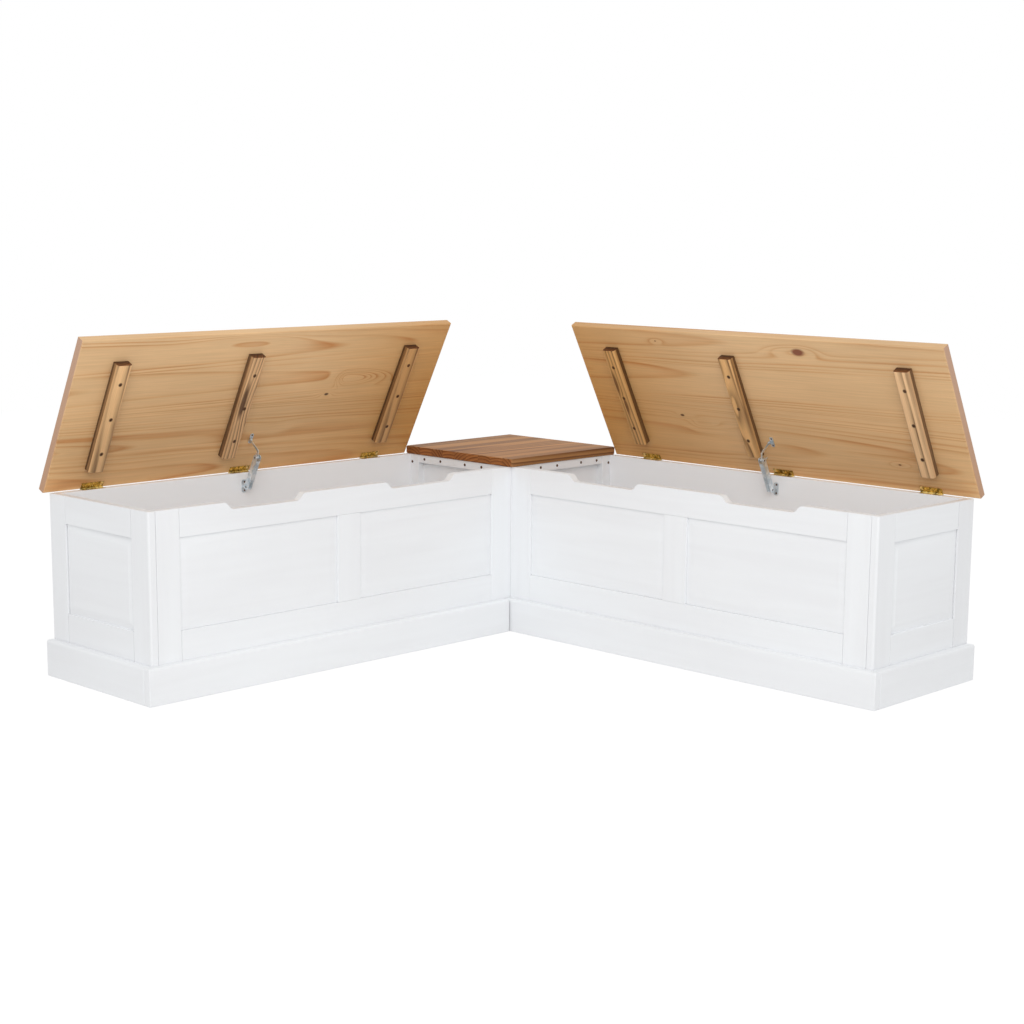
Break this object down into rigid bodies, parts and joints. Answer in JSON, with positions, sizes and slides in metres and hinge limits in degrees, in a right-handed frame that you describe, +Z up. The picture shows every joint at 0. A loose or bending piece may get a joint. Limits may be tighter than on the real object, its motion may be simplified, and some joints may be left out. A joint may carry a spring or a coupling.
{
  "type": "corner storage bench",
  "caption": "L-shaped corner bench of two painted panelled chests with hinged pine seat lids on folding stays and a fixed square seat at the corner.",
  "frame": {"origin": "on the floor, at the middle of the bounding box of the bench with both lids open as pictured", "axes": "+Z up; the right chest runs along +X at the back and faces -Y, the left chest runs along -Y at the left and faces +X, so the corner of the L is at -X, +Y"},
  "size_m": [1.5394, 1.5392, 0.7902],
  "materials": {
    "painted_pine": "white satin paint on pine",
    "varnished_pine": "honey stained and satin varnished pine",
    "dark_pine": "darker stained and satin varnished pine",
    "brass": "brassed hinge leaves",
    "zinc": "bright zinc plate"
  },
  "bodies": {
    "carcass": {"corner_seat_board": "dark_pine", "left_back_panel": "painted_pine", "left_divider": "painted_pine", "left_end_frame": "painted_pine", "left_end_panel": "painted_pine", "left_floor_panel": "painted_pine", "left_front_bottom_rail": "painted_pine", "left_front_inner_panel": "painted_pine", "left_front_inner_stile": "painted_pine", "left_front_muntin": "painted_pine", "left_front_outer_panel": "painted_pine", "left_front_outer_stile": "painted_pine", "left_front_top_rail": "painted_pine", "left_hinge_1_fixed_leaf": "brass", "left_hinge_2_fixed_leaf": "brass", "left_hinge_3_fixed_leaf": "brass", "left_plinth_end": "painted_pine", "left_plinth_front": "painted_pine", "left_seat_rail": "painted_pine", "left_stay_base": "zinc", "right_back_panel": "painted_pine", "right_divider": "painted_pine", "right_end_frame": "painted_pine", "right_end_panel": "painted_pine", "right_floor_panel": "painted_pine", "right_front_bottom_rail": "painted_pine", "right_front_inner_panel": "painted_pine", "right_front_inner_stile": "painted_pine", "right_front_muntin": "painted_pine", "right_front_outer_panel": "painted_pine", "right_front_outer_stile": "painted_pine", "right_front_top_rail": "painted_pine", "right_hinge_1_fixed_leaf": "brass", "right_hinge_2_fixed_leaf": "brass", "right_hinge_3_fixed_leaf": "brass", "right_plinth_end": "painted_pine", "right_plinth_front": "painted_pine", "right_seat_rail": "painted_pine", "right_stay_base": "zinc"},
    "right_lid": {"right_hinge_1_lid_leaf": "brass", "right_hinge_2_lid_leaf": "brass", "right_hinge_3_lid_leaf": "brass", "right_lid_batten_1": "dark_pine", "right_lid_batten_2": "dark_pine", "right_lid_batten_3": "dark_pine", "right_lid_board": "varnished_pine", "right_stay_lid_bracket": "zinc"},
    "left_lid": {"left_hinge_1_lid_leaf": "brass", "left_hinge_2_lid_leaf": "brass", "left_hinge_3_lid_leaf": "brass", "left_lid_batten_1": "dark_pine", "left_lid_batten_2": "dark_pine", "left_lid_batten_3": "dark_pine", "left_lid_board": "varnished_pine", "left_stay_lid_bracket": "zinc"},
    "right_stay_arm": {"right_stay_arm": "zinc"},
    "left_stay_arm": {"left_stay_arm": "zinc"},
    "right_stay_strap": {"right_stay_strap": "zinc"},
    "left_stay_strap": {"left_stay_strap": "zinc"}
  },
  "joints": [
    {"name": "right_lid_hinge", "type": "hinge", "parent": "carcass", "child": "right_lid", "pos_m": [0.21085, 0.75173, 0.4254], "axis": [-1, 0, 0], "range_deg": [-62.1, 10]},
    {"name": "right_stay_base_rivet", "type": "hinge", "parent": "carcass", "child": "right_stay_arm", "pos_m": [0.19885, 0.71323, 0.3915], "axis": [-1, 0, 0], "range_deg": [-73.2, 11.8]},
    {"name": "right_stay_lid_rivet", "type": "hinge", "parent": "right_lid", "child": "right_stay_strap", "pos_m": [0.19885, 0.70073, 0.5093], "axis": [-1, 0, 0], "range_deg": [-10.4, 64.6]},
    {"name": "left_lid_hinge", "type": "hinge", "parent": "carcass", "child": "left_lid", "pos_m": [-0.75165, -0.21077, 0.4254], "axis": [0, -1, 0], "range_deg": [-62.9, 10]},
    {"name": "left_stay_base_rivet", "type": "hinge", "parent": "carcass", "child": "left_stay_arm", "pos_m": [-0.71315, -0.21077, 0.3915], "axis": [0, -1, 0], "range_deg": [-73.2, 11.8]},
    {"name": "left_stay_lid_rivet", "type": "hinge", "parent": "left_lid", "child": "left_stay_strap", "pos_m": [-0.70065, -0.21077, 0.5093], "axis": [0, -1, 0], "range_deg": [-10.4, 64.6]}
  ],
  "couplings": [
    {"joint": "right_stay_base_rivet", "follows": "right_lid_hinge", "ratio": 1.15},
    {"joint": "right_stay_lid_rivet", "follows": "right_lid_hinge", "ratio": -1.02},
    {"joint": "left_stay_base_rivet", "follows": "left_lid_hinge", "ratio": 1.16},
    {"joint": "left_stay_lid_rivet", "follows": "left_lid_hinge", "ratio": -1.01}
  ]
}
